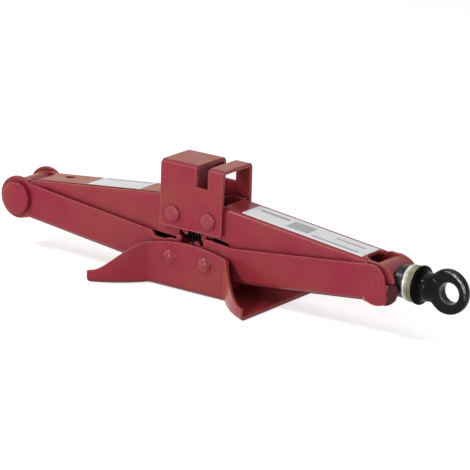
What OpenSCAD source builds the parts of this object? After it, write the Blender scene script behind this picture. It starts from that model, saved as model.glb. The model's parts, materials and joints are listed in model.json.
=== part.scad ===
// Scissor jack for a vehicle, folded flat.
// Four pressed channel arms meet in gear sectors at a foot and at a saddle. A screw
// draws the two end trunnions together and lifts the saddle straight up.
// Millimetres. Origin: middle of the foot's underside. +Z is up. +X runs along the
// screw to the drive eye. The front of the jack faces -Y.

/* [Linkage] */
// Height of the saddle's top above the ground when folded
folded_h = 105; // [102:0.5:110]
// Height of the foot's pivots above the ground
foot_pivot_h = 27; // [26:0.5:29]
// Rise from the foot's pivots to the saddle's pivots when folded
pivot_rise = 35; // [34.5:0.5:38]
// Distance between the two pivots of the foot, and of the saddle
pivot_pitch = 35; // [34.5:0.1:36]
// Distance between the axes of the two end trunnions when folded
trunnion_span = 355; // [330:1:380]
// Thickness of the pressed steel sheet
sheet = 3; // [2.6:0.1:3.2]

/* [Lower arms] */
// Width over the flanges of a lower arm
lower_w = 41; // [40:0.5:44]
// Depth of a lower arm under its axis
lower_under = 14.6; // [14:0.2:15.2]
// Height of a lower arm's flange above its axis
lower_over = 14.8; // [14.2:0.2:15.6]
// Outside radius of the bend between web and flange
bend_r = 5; // [4:0.5:6]
// Radius of the round ears about the trunnions
lower_ear_r = 17.8; // [16.6:0.2:18.6]
// Reach of the square right end past the trunnion axis
square_end = 8.6; // [7:0.2:9]
// Corner radius of the square right end
square_end_r = 13; // [8:0.5:14]
// Reach of the lip under the square end, past the trunnion axis
lip_reach = 18.7; // [16:0.5:19.5]
// Depth of the lip's underside below the trunnion axis
lip_under = 17; // [16:0.2:17.6]
// Depth of the lip's top below the trunnion axis
lip_top = 12.5; // [12:0.5:14]
// Corner radius of the lip
lip_r = 12; // [10:0.5:13]

/* [Upper arms] */
// Height of an upper arm's web above its axis
upper_over = 14.7; // [13.6:0.1:15.4]
// Depth of an upper arm's flange under its axis, past the gear
upper_under = 16; // [15:0.5:17]
// Depth of the right upper arm's flange under its axis, beside the gear
upper_relief = 13.2; // [13:0.1:14]
// Depth of an upper arm's flange under its axis, beside the trunnion
upper_under_end = 11.4; // [10:0.2:12]
// Radius of the round ear about the trunnion
upper_ear_r = 14.7; // [14.7:0.1:15.6]
// Length of the slot in the left web
slot_l = 10; // [6:0.5:14]
// Width of the slot in the left web
slot_w = 7; // [4:0.5:8]
// Distance of the slot from the left trunnion axis
slot_from_trunnion = 37.5; // [32:0.5:60]
// Sideways place of the slot
slot_y = 4; // [0:0.5:6]

/* [Arm ends] */
// Distance from the trunnion axis at which an arm's web stops
web_stop = 18; // [17:0.5:24]
// Corner radius of the cut that ends a web
web_cut_r = 6; // [3:0.5:8]
// Distance from the gear axis at which a web begins
web_start = 9.5; // [9:0.5:12]

/* [Gear sectors] */
// Teeth that a full gear would have
gear_teeth = 12; // [12]
// Pressure angle
pressure_angle = 20; // [20:0.5:22]
// Tooth height above the pitch circle
addendum = 2.3; // [2:0.05:2.4]
// Tooth depth under the pitch circle
dedendum = 3.1; // [2.8:0.05:3.3]
// Play between meshed teeth, along the pitch circle
backlash = 0.4; // [0.3:0.05:0.6]
// Number of teeth on the sectors of the left lower arm and the right upper arm
relieved_count = 3; // [2:1:4]
// Number of teeth on the sectors of the other two arms
shouldered_count = 4; // [4]
// Distance from the gear axis at which a shoulder's slope ends
shoulder_end = 28; // [26:0.5:30]

/* [Saddle] */
// Length of the saddle along the jack
saddle_l = 61; // [56:0.5:66]
// Depth of the saddle's flanges under its pivots
saddle_under = 11; // [10:0.5:11.5]
// Outside radius of the saddle's folds
saddle_bend_r = 4.5; // [4:0.1:5.5]
// Corner radius at the foot of the saddle's flanges
saddle_corner_r = 3; // [2:0.5:5]
// Left side of the notch, from the middle of the saddle
notch_x = 4.6; // [2:0.2:6]
// Width of the notch
notch_w = 11.6; // [8:0.2:12]
// Depth of the notch
notch_d = 17.5; // [12:0.5:20]

/* [Foot] */
// Length of the foot's straight middle
foot_mid_l = 70; // [66:0.5:74]
// Overall length of the foot
foot_l = 153; // [146:1:160]
// Height of the foot's flanges at the middle of the foot
foot_crown = 40.5; // [39:0.5:42]
// Height of the flanges where the wings begin
foot_shoulder = 36; // [34:0.5:38]
// Height of the wings' tips
foot_tip_h = 10.4; // [8:0.2:12]
// Outside radius of the bend between the foot's web and flanges
foot_bend_r = 5; // [4:0.5:6]
// Angle at which the wings leave the flanges
wing_angle = 53; // [48:1:55]
// Angle of the wings at their tips
wing_tip_angle = 24; // [20:1:30]
// Radius of the bend at which the wings begin
wing_bend_r = 6; // [4:0.5:8]
// How far the wings' top edges lean out
wing_lean = 1; // [0:0.5:4]

/* [Pivot rivets] */
// Diameter of the rivets' shanks
rivet_d = 10; // [9:0.5:11]
// Diameter of the saddle rivets' flat heads
saddle_head_d = 14; // [13:0.5:16]
// Height of the saddle rivets' flat heads
saddle_head_h = 2.4; // [1.6:0.2:3]
// Diameter of the foot rivets' round heads
foot_head_d = 13.5; // [13:0.5:15]
// Height of the foot rivets' round heads
foot_head_h = 4; // [3:0.2:4.6]

/* [Trunnions] */
// Diameter of the trunnions between the arms
trunnion_d = 28; // [26:0.2:28.6]
// Diameter of the nut trunnion's journals
nut_journal_d = 14; // [12:0.5:16]
// Diameter of the nut trunnion's end discs
nut_disc_d = 27; // [24:0.2:28]
// Thickness of the end discs
nut_disc_t = 4.5; // [3.5:0.1:5.5]
// Radius on the rim of the end discs
nut_disc_edge = 1.6; // [1:0.1:1.8]
// Diameter of the plain trunnion's blind journals
plain_journal_d = 8; // [7:0.5:9]
// How far the blind journals enter the lower arm's flanges
journal_depth = 2.2; // [1.6:0.1:2.4]

/* [Screw] */
// Outside diameter of the lifting screw
screw_d = 14; // [12:0.5:14]
// Distance from the plain trunnion's axis to its thrust face
thrust_face = 10.5; // [10:0.1:12]
// Diameter of the steel thrust washer
washer_d = 26; // [22:0.5:27]
// Thickness of the steel thrust washer
washer_t = 8; // [6:0.1:9]
// Diameter of the ribbed thrust bush
bush_d = 29.4; // [28:0.2:31]
// Length of the ribbed thrust bush
bush_l = 8.2; // [7:0.2:10]
// Number of grooves round the bush
bush_grooves = 3; // [2:1:4]
// Depth of the grooves round the bush
groove_depth = 0.7; // [0.4:0.1:1]
// Width of the grooves round the bush
groove_w = 1; // [0.6:0.1:1.4]
// Thickness of the bright ring behind the collar
ring_t = 0.9; // [0.6:0.1:1.4]
// Diameter of the black collar
collar_d = 31; // [29:0.2:32]
// Thickness of the black collar
collar_t = 2.4; // [2:0.2:3.6]
// How far the screw reaches past the nut trunnion's axis
screw_past_nut = 18.5; // [17.5:0.5:20]
// Diameter of the stop and retainer rings on the screw
stop_d = 18.4; // [17:0.2:20]
// Thickness of the stop and retainer rings
stop_t = 3; // [2:0.2:3]

/* [Drive eye] */
// Diameter of the forged eye
eye_d = 36; // [34:0.5:38]
// Thickness of the forged eye
eye_t = 8.4; // [7:0.2:9.4]
// Diameter of the hole for the crank's hook
eye_hole_d = 16.8; // [15:0.2:18]
// How far the hole lies beyond the middle of the eye
eye_hole_shift = 3; // [2:0.2:4]
// Radius on the rim of the eye
eye_edge = 3; // [2:0.2:3.4]
// Diameter of the neck between collar and eye
neck_d = 23; // [20:0.5:25]
// Distance from the collar's face to the middle of the eye
neck_l = 23.4; // [20:0.2:26]

/* [Fits] */
// Radial running clearance of pins, journals and screw
run = 0.08; // [0.05:0.01:0.1]
// Gap between an upper arm and the lower arm round it
arm_gap = 0.5; // [0.4:0.05:0.7]
// Gap between an arm and the saddle or foot round it
cheek_gap = 0.3; // [0.25:0.05:0.5]
// Play between faces that turn on each other
face_gap = 0.1; // [0.05:0.05:0.2]

/* [Hidden] */

$fn = 64;
// Overrun of cuts past the faces that they open
over = 1;

paint = [0.56, 0.12, 0.17];
black_steel = [0.07, 0.07, 0.08];
grey_steel = [0.33, 0.35, 0.36];
zinc = [0.62, 0.62, 0.42];

// Linkage
saddle_pivot_h = foot_pivot_h + pivot_rise;
screw_h = foot_pivot_h + pivot_rise / 2;
pivot_x = pivot_pitch / 2;
trunnion_x = trunnion_span / 2;
arm_run = trunnion_x - pivot_x;
fold_angle = atan2(pivot_rise / 2, arm_run);
arm_l = arm_run / cos(fold_angle);

// Widths, from the inside out
lower_in_w = lower_w - sheet * 2;
upper_w = lower_in_w - arm_gap * 2;
upper_in_w = upper_w - sheet * 2;
saddle_in_w = upper_w + cheek_gap * 2;
saddle_w = saddle_in_w + sheet * 2;
foot_in_w = lower_w + cheek_gap * 2;
foot_w = foot_in_w + sheet * 2;
trunnion_w = upper_in_w - cheek_gap * 2;

// Relief beside the gear in the left lower arm and the right upper arm. The other two
// arms have a shoulder over it.
step_floor_share = 0.73;
step_floor = lower_over * step_floor_share;
// Where an arm's flanges begin, past the rivet's hole
side_start = -rivet_d / 2 - over;
web_lap = web_cut_r;
zone_end = arm_l - web_stop + web_lap;

// Gear sectors
pitch_r = pivot_pitch / 2;
tooth_step = 360 / gear_teeth;
base_r = pitch_r * cos(pressure_angle);
tip_r = pitch_r + addendum;
root_r = pitch_r - dedendum;
gear_floor = root_r - dedendum / 2;
step_start = tip_r - addendum / 2;
step_end = step_start + lower_over - step_floor;
relief_end = step_start + upper_under - upper_relief;
shoulder_share = 0.95;
tooth_rows = 5;
rim_steps = 5;

// Places of the teeth when folded, in teeth from the line through both gears. The two
// kinds of sector are half a tooth apart, so that each meshes with the other.
phase_share = 1 / 4;
relieved_teeth = [for (i = [0 : relieved_count - 1]) i + phase_share];
shouldered_teeth = [for (i = [0 : shouldered_count - 1]) i + phase_share - 1 / 2];

// How far an arm's outline can reach from its axis
arm_reach = max(tip_r, lower_ear_r) + over;

// Radii that several pieces share
rivet_r = rivet_d / 2;
screw_r = screw_d / 2;
trunnion_r = trunnion_d / 2;
rivet_edge = saddle_head_h / 3;

// Screw end, in order outwards from the plain trunnion
washer_x = trunnion_x + thrust_face + face_gap;
bush_x = washer_x + washer_t;
ring_x = bush_x + bush_l;
collar_x = ring_x + ring_t;
collar_face_x = collar_x + collar_t;
eye_x = collar_face_x + neck_l;
washer_edge = washer_t / 6;
screw_end_x = -trunnion_x - screw_past_nut;
neck_socket_l = neck_l / 3;
neck_taper_l = neck_l - neck_socket_l + eye_hole_shift - eye_hole_d / 2;

// Foot
foot_mid_x = foot_mid_l / 2;
foot_end_x = foot_l / 2;
foot_rise = foot_crown - foot_shoulder;
foot_crown_r = (foot_mid_x * foot_mid_x + foot_rise * foot_rise) / foot_rise / 2;
bend_rows = 3;
bend_steps = 4;
wing_rows = 10;

// Small helpers

// A side view in X and Z, given a width along Y
module plate(w) {
    rotate([90, 0, 0])
        linear_extrude(height = w, center = true)
            children();
}

// The same side view for both flanges of a channel
module flanges(w) {
    for (side = [-1, 1])
        translate([0, side * (w - sheet) / 2, 0])
            plate(sheet)
                children();
}

// A rod along Y
module cross_rod(r, l) {
    rotate([90, 0, 0])
        cylinder(r = r, h = l, center = true);
}

// A rod along X from x0 to x1
module along_rod(r, x0, x1) {
    translate([x0, 0, 0])
        rotate([0, 90, 0])
            cylinder(r = r, h = x1 - x0);
}

// A rectangle whose two lower corners are round
module cup_section(w, h, r) {
    translate([-w / 2, r])
        square([w, h - r]);
    translate([r - w / 2, 0])
        square([w - r * 2, h]);
    for (side = [-1, 1])
        translate([side * (w / 2 - r), r])
            circle(r = r);
}

// A bent channel, web down, from x0 to x1
module channel(w, h, r, x0, x1) {
    translate([x0, 0, 0])
        rotate([90, 0, 90])
            linear_extrude(height = x1 - x0)
                difference() {
                    cup_section(w, h, r);
                    translate([0, sheet])
                        cup_section(w - sheet * 2, h, r - sheet);
                }
}

// Plan view of the cut that ends a web, with two round corners
module web_cut(x0, w, l) {
    translate([x0 + web_cut_r, -w / 2])
        square([l - web_cut_r, w]);
    translate([x0, web_cut_r - w / 2])
        square([l, w - web_cut_r * 2]);
    for (side = [-1, 1])
        translate([x0 + web_cut_r, side * (w / 2 - web_cut_r)])
            circle(r = web_cut_r);
}

// A disc with its axis along Y and both rims rounded
module round_disc(r, t, edge) {
    rotate([90, 0, 0])
        translate([0, 0, -t / 2])
            rotate_extrude()
                disc_section(r, t, edge);
}

module disc_section(r, t, edge) {
    square([r - edge, t]);
    translate([0, edge])
        square([r, t - edge * 2]);
    translate([r - edge, edge])
        circle(r = edge);
    translate([r - edge, t - edge])
        circle(r = edge);
}

// Gear sectors

function arc_angle(arc, r) = arc / r * 180 / PI;
pitch_half_angle = tooth_step / 4 - arc_angle(backlash / 4, pitch_r);
function involute(a) = arc_angle(tan(a), 1) - a;
function half_angle(r) =
    pitch_half_angle + involute(pressure_angle) - involute(acos(min(1, base_r / r)));
function flank_r(i) = base_r + (tip_r - base_r) * i / tooth_rows;
function flank(side) = [
    for (i = [0 : tooth_rows])
        let (r = flank_r(i), a = side * half_angle(r))
            [r * cos(a), r * sin(a)]
];
function turned(points) = [for (i = [len(points) - 1 : -1 : 0]) points[i]];

// One involute tooth along +X, with its foot inside the root circle
module tooth() {
    foot_a = half_angle(base_r);
    foot_r = root_r - addendum;
    polygon(concat(
        [[foot_r * cos(foot_a), -foot_r * sin(foot_a)]],
        flank(-1),
        turned(flank(1)),
        [[foot_r * cos(foot_a), foot_r * sin(foot_a)]]
    ));
}

// Gear sector about the origin in an arm's own frame. When the arm is folded, the other
// gear lies towards -X. A sector with a shoulder has it in place of its last tooth.
module sector(places, edge_h = 0) {
    last = len(places) - 1;
    circle(r = root_r);
    for (i = [0 : edge_h > 0 ? last - 1 : last])
        rotate(tooth_angle(places[i]))
            tooth();
    if (edge_h > 0)
        shoulder(tooth_angle(places[last]), edge_h * shoulder_share);
}

function tooth_angle(place) = 180 - fold_angle - place * tooth_step;
function polar(r, a) = [r * cos(a), r * sin(a)];

// The last flank, then the rim left uncut, then a slope that leaves the rim at a tangent
module shoulder(last_a, edge_h) {
    start_a = last_a + half_angle(tip_r);
    leave_a = atan2(edge_h, shoulder_end) + acos(tip_r / norm([shoulder_end, edge_h]));
    polygon(concat(
        [polar(root_r - addendum, last_a + half_angle(base_r))],
        [for (i = [0 : tooth_rows]) polar(flank_r(i), last_a + half_angle(flank_r(i)))],
        [for (i = [1 : rim_steps]) polar(tip_r, start_a + (leave_a - start_a) * i / rim_steps)],
        [[shoulder_end, edge_h], [shoulder_end, edge_h / 2]]
    ));
}

// Arms. Each is drawn with its gear at the origin and its trunnion at +X.

// Side view of a lower arm's body
module lower_side(square_ended) {
    top_end = square_ended ? arm_l + square_end - square_end_r : arm_l;
    polygon([
        [side_start, sheet - lower_under],
        [web_start, -lower_under],
        [arm_l, -lower_under],
        [arm_l, 0],
        [top_end, 0],
        [top_end, lower_over],
        [step_end, lower_over],
        [step_start, step_floor],
        [side_start, gear_floor]
    ]);
    if (square_ended) {
        translate([arm_l + square_end - square_end_r, lower_over - square_end_r])
            circle(r = square_end_r);
        intersection() {
            translate([arm_l, 0])
                circle(r = lower_ear_r);
            translate([arm_l + square_end - lower_ear_r * 2, -lower_ear_r])
                square([lower_ear_r * 2, lower_ear_r + lower_over - square_end_r]);
        }
        intersection() {
            translate([arm_l + lip_reach - lip_r, lip_r - lip_under])
                circle(r = lip_r);
            translate([arm_l + square_end - lip_r / 2, -lower_ear_r])
                square([lip_r * 2, lower_ear_r - lip_top]);
        }
    } else {
        translate([arm_l, 0])
            circle(r = lower_ear_r);
    }
}

// Side view of a lower arm with its gear
module lower_outline(places, square_ended) {
    lower_side(square_ended);
    sector(places, square_ended ? lower_over : 0);
}

// Side view of an upper arm's body
module upper_side() {
    polygon([
        [side_start, upper_over - sheet],
        [web_start, upper_over],
        [arm_l, upper_over],
        [arm_l, -upper_under_end],
        [arm_l - web_stop, -upper_under_end],
        [relief_end, -upper_under],
        [step_start, -upper_relief],
        [side_start, -gear_floor]
    ]);
    translate([arm_l, 0])
        circle(r = upper_ear_r);
}

// Side view of an upper arm with its gear
module upper_outline(places, slotted) {
    upper_side();
    mirror([0, 1])
        sector(places, slotted ? upper_under : 0);
}

// The stretch of an arm that has a web
module web_zone() {
    translate([web_start, -arm_reach])
        square([zone_end - web_start, arm_reach * 2]);
}

module lower_body(places, square_ended) {
    flanges(lower_w)
        difference() {
            lower_outline(places, square_ended);
            web_zone();
        }
    difference() {
        intersection() {
            plate(lower_w)
                intersection() {
                    lower_outline(places, square_ended);
                    web_zone();
                }
            translate([0, 0, -lower_under])
                channel(lower_w, lower_under + arm_reach, bend_r, web_start, zone_end);
        }
        translate([0, 0, -lower_under - over])
            linear_extrude(height = sheet + over * 2)
                web_cut(arm_l - web_stop, lower_in_w - (bend_r - sheet) * 2, web_lap + over);
    }
}

module upper_body(places, slotted) {
    flanges(upper_w)
        difference() {
            upper_outline(places, slotted);
            web_zone();
        }
    difference() {
        intersection() {
            plate(upper_w)
                intersection() {
                    upper_outline(places, slotted);
                    web_zone();
                }
            translate([0, 0, upper_over])
                mirror([0, 0, 1])
                    channel(upper_w, upper_over + arm_reach, bend_r, web_start, zone_end);
        }
        translate([0, 0, upper_over - sheet - over])
            linear_extrude(height = sheet + over * 2)
                web_cut(arm_l - web_stop, upper_in_w - (bend_r - sheet) * 2, web_lap + over);
        if (slotted)
            translate([arm_l - slot_from_trunnion, slot_y, upper_over - sheet - over])
                linear_extrude(height = sheet + over * 2)
                    slot_plan();
    }
}

module slot_plan() {
    square([slot_l - slot_w, slot_w], center = true);
    for (side = [-1, 1])
        translate([side * (slot_l - slot_w) / 2, 0])
            circle(r = slot_w / 2);
}

// A lower arm at its folded angle
module lower_arm(places, square_ended, journal_r, journal_w) {
    rotate([0, -fold_angle, 0])
        difference() {
            lower_body(places, square_ended);
            cross_rod(rivet_r + run, lower_w + over * 2);
            translate([arm_l, 0, 0])
                cross_rod(journal_r + run, journal_w);
        }
}

// An upper arm at its folded angle
module upper_arm(places, slotted, journal_r) {
    rotate([0, fold_angle, 0])
        difference() {
            upper_body(places, slotted);
            cross_rod(rivet_r + run, upper_w + over * 2);
            translate([arm_l, 0, 0])
                cross_rod(journal_r + run, upper_w + over * 2);
        }
}

module lower_left_arm() {
    color(paint)
        translate([-pivot_x, 0, foot_pivot_h])
            mirror([1, 0, 0])
                lower_arm(relieved_teeth, false, nut_journal_d / 2, lower_w + over * 2);
}

module lower_right_arm() {
    color(paint)
        translate([pivot_x, 0, foot_pivot_h])
            lower_arm(
                shouldered_teeth, true, plain_journal_d / 2,
                lower_in_w + (journal_depth + cheek_gap) * 2
            );
}

module upper_left_arm() {
    color(paint)
        translate([-pivot_x, 0, saddle_pivot_h])
            mirror([1, 0, 0])
                upper_arm(shouldered_teeth, true, nut_journal_d / 2);
}

module upper_right_arm() {
    color(paint)
        translate([pivot_x, 0, saddle_pivot_h])
            upper_arm(relieved_teeth, false, plain_journal_d / 2);
}

// Saddle

module saddle_side() {
    low = saddle_pivot_h - saddle_under;
    half_l = saddle_l / 2;
    difference() {
        union() {
            translate([-half_l, low + saddle_corner_r])
                square([saddle_l, folded_h - low - saddle_corner_r]);
            translate([saddle_corner_r - half_l, low])
                square([saddle_l - saddle_corner_r * 2, folded_h - low]);
            for (side = [-1, 1])
                translate([side * (half_l - saddle_corner_r), low + saddle_corner_r])
                    circle(r = saddle_corner_r);
        }
        translate([notch_x, folded_h - notch_d])
            square([notch_w, notch_d + over]);
    }
}

module saddle() {
    low = saddle_pivot_h - saddle_under;
    color(paint)
        difference() {
            intersection() {
                plate(saddle_w)
                    saddle_side();
                translate([0, 0, folded_h])
                    mirror([0, 0, 1])
                        channel(saddle_w, folded_h - low, saddle_bend_r,
                            -saddle_l / 2, saddle_l / 2);
            }
            for (side = [-1, 1])
                translate([side * pivot_x, 0, saddle_pivot_h])
                    cross_rod(rivet_r + run, saddle_w + over * 2);
        }
}

// Foot

// Half width of the foot's outside at heading a, on the bend and then on the wing
wing_r = (foot_end_x - foot_mid_x - wing_bend_r * sin(wing_angle))
    / (sin(wing_angle) - sin(wing_tip_angle));
wing_x = foot_mid_x + wing_bend_r * sin(wing_angle);
wing_y = foot_w / 2 + wing_bend_r * (1 - cos(wing_angle));

function bend_point(a) = [
    foot_mid_x + wing_bend_r * sin(a),
    foot_w / 2 + wing_bend_r * (1 - cos(a))
];
function wing_point(a) = [
    wing_x + wing_r * (sin(wing_angle) - sin(a)),
    wing_y + wing_r * (cos(a) - cos(wing_angle))
];
function wing_height(x) =
    foot_tip_h + (foot_shoulder - foot_tip_h)
        * (1 + cos(180 * (x - foot_mid_x) / (foot_end_x - foot_mid_x))) / 2;
function wing_lean_at(x) = wing_lean * sin(180 * (x - foot_mid_x) / (foot_end_x - foot_mid_x));

// Outline of one cross-section: place x, half width y, heading a, height h, lean out
function half_outer(x, y, a, h, out) =
    let (k = 1 / cos(a), r = foot_bend_r)
        concat([[x, y + out, h]], [
            for (i = [0 : bend_steps])
                let (b = 90 * i / bend_steps)
                    [x, y - k * r * (1 - cos(b)), r * (1 - sin(b))]
        ]);
function half_inner(x, y, a, h, out) =
    let (k = 1 / cos(a), r = foot_bend_r, q = r - sheet)
        concat([
            for (i = [bend_steps : -1 : 0])
                let (b = 90 * i / bend_steps)
                    [x, y - k * (r - q * cos(b)), r - q * sin(b)]
        ], [[x, y + out - k * sheet, h]]);
function far_side(points) = [for (p = turned(points)) [p[0], -p[1], p[2]]];
function section(x, y, a, h, out) = concat(
    half_outer(x, y, a, h, out),
    far_side(half_outer(x, y, a, h, out)),
    far_side(half_inner(x, y, a, h, out)),
    half_inner(x, y, a, h, out)
);
function wing_section(p, a) = section(p[0], p[1], a, wing_height(p[0]), wing_lean_at(p[0]));
wing_sections = concat(
    [for (i = [0 : bend_rows])
        let (a = wing_angle * i / bend_rows)
            wing_section(bend_point(a), a)],
    [for (i = [1 : wing_rows])
        let (a = wing_angle + (wing_tip_angle - wing_angle) * i / wing_rows)
            wing_section(wing_point(a), a)]
);

// The two wings of the right end with the web between them, as one bent sheet
module wings() {
    rows = len(wing_sections);
    ring = len(wing_sections[0]);
    polyhedron(
        points = [for (s = wing_sections) for (p = s) p],
        faces = concat(
            [for (j = [0 : ring / 2 - 2]) let (m = ring - 1 - j) [j, m, j + 1]],
            [for (j = [0 : ring / 2 - 2]) let (m = ring - 1 - j) [j + 1, m, m - 1]],
            [for (i = [0 : rows - 2]) for (j = [0 : ring - 1])
                let (n = (j + 1) % ring, b = i * ring, t = (i + 1) * ring)
                    [b + j, b + n, t + j]],
            [for (i = [0 : rows - 2]) for (j = [0 : ring - 1])
                let (n = (j + 1) % ring, b = i * ring, t = (i + 1) * ring)
                    [b + n, t + n, t + j]],
            [for (j = [0 : ring / 2 - 2]) let (b = (rows - 1) * ring, m = b + ring - 1 - j)
                [b + j, b + j + 1, m]],
            [for (j = [0 : ring / 2 - 2]) let (b = (rows - 1) * ring, m = b + ring - 1 - j)
                [b + j + 1, m - 1, m]]
        )
    );
}

module foot_side() {
    intersection() {
        translate([-foot_mid_x, 0])
            square([foot_mid_l, foot_crown]);
        translate([0, foot_crown - foot_crown_r])
            circle(r = foot_crown_r, $fn = 256);
    }
}

module foot() {
    color(paint)
        difference() {
            union() {
                intersection() {
                    plate(foot_w)
                        foot_side();
                    translate([-foot_mid_x, 0, 0])
                        rotate([90, 0, 90])
                            linear_extrude(height = foot_mid_l)
                                polygon([
                                    for (p = section(0, foot_w / 2, 0, foot_crown + over, 0))
                                        [p[1], p[2]]
                                ]);
                }
                wings();
                mirror([1, 0, 0])
                    wings();
            }
            for (side = [-1, 1])
                translate([side * pivot_x, 0, foot_pivot_h])
                    cross_rod(rivet_r + run, foot_w + over * 2);
        }
}

// Rivets

module flat_head() {
    r = saddle_head_d / 2;
    rotate_extrude() {
        square([r, saddle_head_h - rivet_edge]);
        square([r - rivet_edge, saddle_head_h]);
        translate([r - rivet_edge, saddle_head_h - rivet_edge])
            circle(r = rivet_edge);
    }
}

module round_head() {
    r = foot_head_d / 2;
    dome_r = (r * r + foot_head_h * foot_head_h) / foot_head_h / 2;
    rotate_extrude()
        intersection() {
            square([r, foot_head_h]);
            translate([0, foot_head_h - dome_r])
                circle(r = dome_r);
        }
}

module saddle_rivet(side) {
    color(paint)
        translate([side * pivot_x, 0, saddle_pivot_h])
            rotate([90, 0, 0]) {
                cylinder(r = rivet_r, h = saddle_w, center = true);
                translate([0, 0, saddle_w / 2])
                    flat_head();
                mirror([0, 0, 1])
                    translate([0, 0, saddle_w / 2])
                        flat_head();
            }
}

module foot_rivet(side) {
    color(paint)
        translate([side * pivot_x, 0, foot_pivot_h])
            rotate([90, 0, 0]) {
                cylinder(r = rivet_r, h = foot_w, center = true);
                translate([0, 0, foot_w / 2])
                    round_head();
                mirror([0, 0, 1])
                    translate([0, 0, foot_w / 2])
                        round_head();
            }
}

module saddle_rivet_left() { saddle_rivet(-1); }
module saddle_rivet_right() { saddle_rivet(1); }
module foot_rivet_left() { foot_rivet(-1); }
module foot_rivet_right() { foot_rivet(1); }

// Trunnions

disc_y = lower_w / 2 + cheek_gap;

module nut_trunnion() {
    color(paint)
        translate([-trunnion_x, 0, screw_h])
            difference() {
                union() {
                    cross_rod(trunnion_r, trunnion_w);
                    cross_rod(nut_journal_d / 2, disc_y * 2);
                }
                along_rod(screw_r + run, -trunnion_r - over, trunnion_r + over);
            }
}

module nut_disc(side) {
    color(paint)
        translate([-trunnion_x, side * (disc_y + nut_disc_t / 2), screw_h])
            round_disc(nut_disc_d / 2, nut_disc_t, nut_disc_edge);
}

module nut_disc_front() { nut_disc(-1); }
module nut_disc_rear() { nut_disc(1); }

module plain_trunnion() {
    color(paint)
        translate([trunnion_x, 0, screw_h])
            difference() {
                union() {
                    cross_rod(trunnion_r, trunnion_w);
                    cross_rod(plain_journal_d / 2, lower_in_w + journal_depth * 2);
                }
                along_rod(screw_r + run, -trunnion_r - over, trunnion_r + over);
                translate([thrust_face, -trunnion_w / 2 - over, -trunnion_r - over])
                    cube([trunnion_r, trunnion_w + over * 2, (trunnion_r + over) * 2]);
                translate([-thrust_face - trunnion_r, -trunnion_w / 2 - over, -trunnion_r - over])
                    cube([trunnion_r, trunnion_w + over * 2, (trunnion_r + over) * 2]);
            }
}

// Screw and its thrust parts

module on_screw() {
    translate([0, 0, screw_h])
        children();
}

module lift_screw() {
    color(black_steel)
        on_screw()
            along_rod(screw_r, screw_end_x, collar_face_x + neck_socket_l);
}

// A ring on the screw, bored to run on it
module screw_ring(r, x0, l, edge) {
    translate([x0, 0, 0])
        rotate([0, 90, 0])
            difference() {
                rotate_extrude()
                    disc_section(r, l, edge);
                translate([0, 0, -over])
                    cylinder(r = screw_r + run, h = l + over * 2);
            }
}

module screw_stop() {
    color(black_steel)
        on_screw()
            screw_ring(stop_d / 2, screw_end_x, stop_t, stop_t / 6);
}

module screw_retainer() {
    color(grey_steel)
        on_screw()
            screw_ring(stop_d / 2, trunnion_x - thrust_face - face_gap - stop_t, stop_t, stop_t / 6);
}

module thrust_washer() {
    color(grey_steel)
        on_screw()
            screw_ring(washer_d / 2, washer_x, washer_t, washer_edge);
}

module thrust_bush() {
    pitch = bush_l / (bush_grooves + 1);
    r = bush_d / 2;
    color(zinc)
        on_screw()
            translate([bush_x, 0, 0])
                rotate([0, 90, 0])
                    difference() {
                        rotate_extrude()
                            disc_section(r, bush_l, groove_depth);
                        for (i = [1 : bush_grooves])
                            translate([0, 0, i * pitch - groove_w / 2])
                                difference() {
                                    cylinder(r = r + over, h = groove_w);
                                    cylinder(r = r - groove_depth, h = groove_w);
                                }
                        translate([0, 0, -over])
                            cylinder(r = screw_r + run, h = bush_l + over * 2);
                    }
}

module thrust_ring() {
    color(zinc)
        on_screw()
            screw_ring(collar_d / 2 - ring_t, ring_x, ring_t, ring_t / 3);
}

// Forged collar, neck and eye, bored for the end of the screw
module drive_eye() {
    color(black_steel)
        on_screw()
            difference() {
                union() {
                    translate([collar_x, 0, 0])
                        rotate([0, 90, 0])
                            rotate_extrude()
                                disc_section(collar_d / 2, collar_t, collar_t / 4);
                    along_rod(neck_d / 2, collar_x, collar_face_x + neck_socket_l);
                    translate([collar_face_x + neck_socket_l, 0, 0])
                        rotate([0, 90, 0])
                            cylinder(r1 = neck_d / 2, r2 = eye_t / 2, h = neck_taper_l);
                    translate([eye_x, 0, 0])
                        round_disc(eye_d / 2, eye_t, eye_edge);
                }
                along_rod(screw_r + run, collar_x - over, collar_face_x + neck_socket_l);
                translate([eye_x + eye_hole_shift, 0, 0])
                    cross_rod(eye_hole_d / 2, neck_d + over * 2);
            }
}

foot();
lower_left_arm();
lower_right_arm();
upper_left_arm();
upper_right_arm();
saddle();
foot_rivet_left();
foot_rivet_right();
saddle_rivet_left();
saddle_rivet_right();
nut_trunnion();
nut_disc_front();
nut_disc_rear();
plain_trunnion();
lift_screw();
screw_stop();
screw_retainer();
thrust_washer();
thrust_bush();
thrust_ring();
drive_eye();
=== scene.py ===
# %% [markdown]
# # A folded scissor jack
#
# A scissor jack is made from a few cheap, strong things: four arms folded from steel sheet, a foot
# and a saddle folded the same way, rivets, and one long screw. The mechanical model already gives
# every part its true size and place. This lesson gives the parts their looks: softened sheet
# edges, a cut thread, a forged eye, turned rings, a sticker on each upper arm, and paint that
# reads as paint from close by.
#
# Everything here is in metres and stays where the mechanical model puts it.

# %% Load the mechanical model
import json
import math

import bmesh
import bpy
from mathutils import Matrix, Vector
from mathutils.bvhtree import BVHTree


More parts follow.
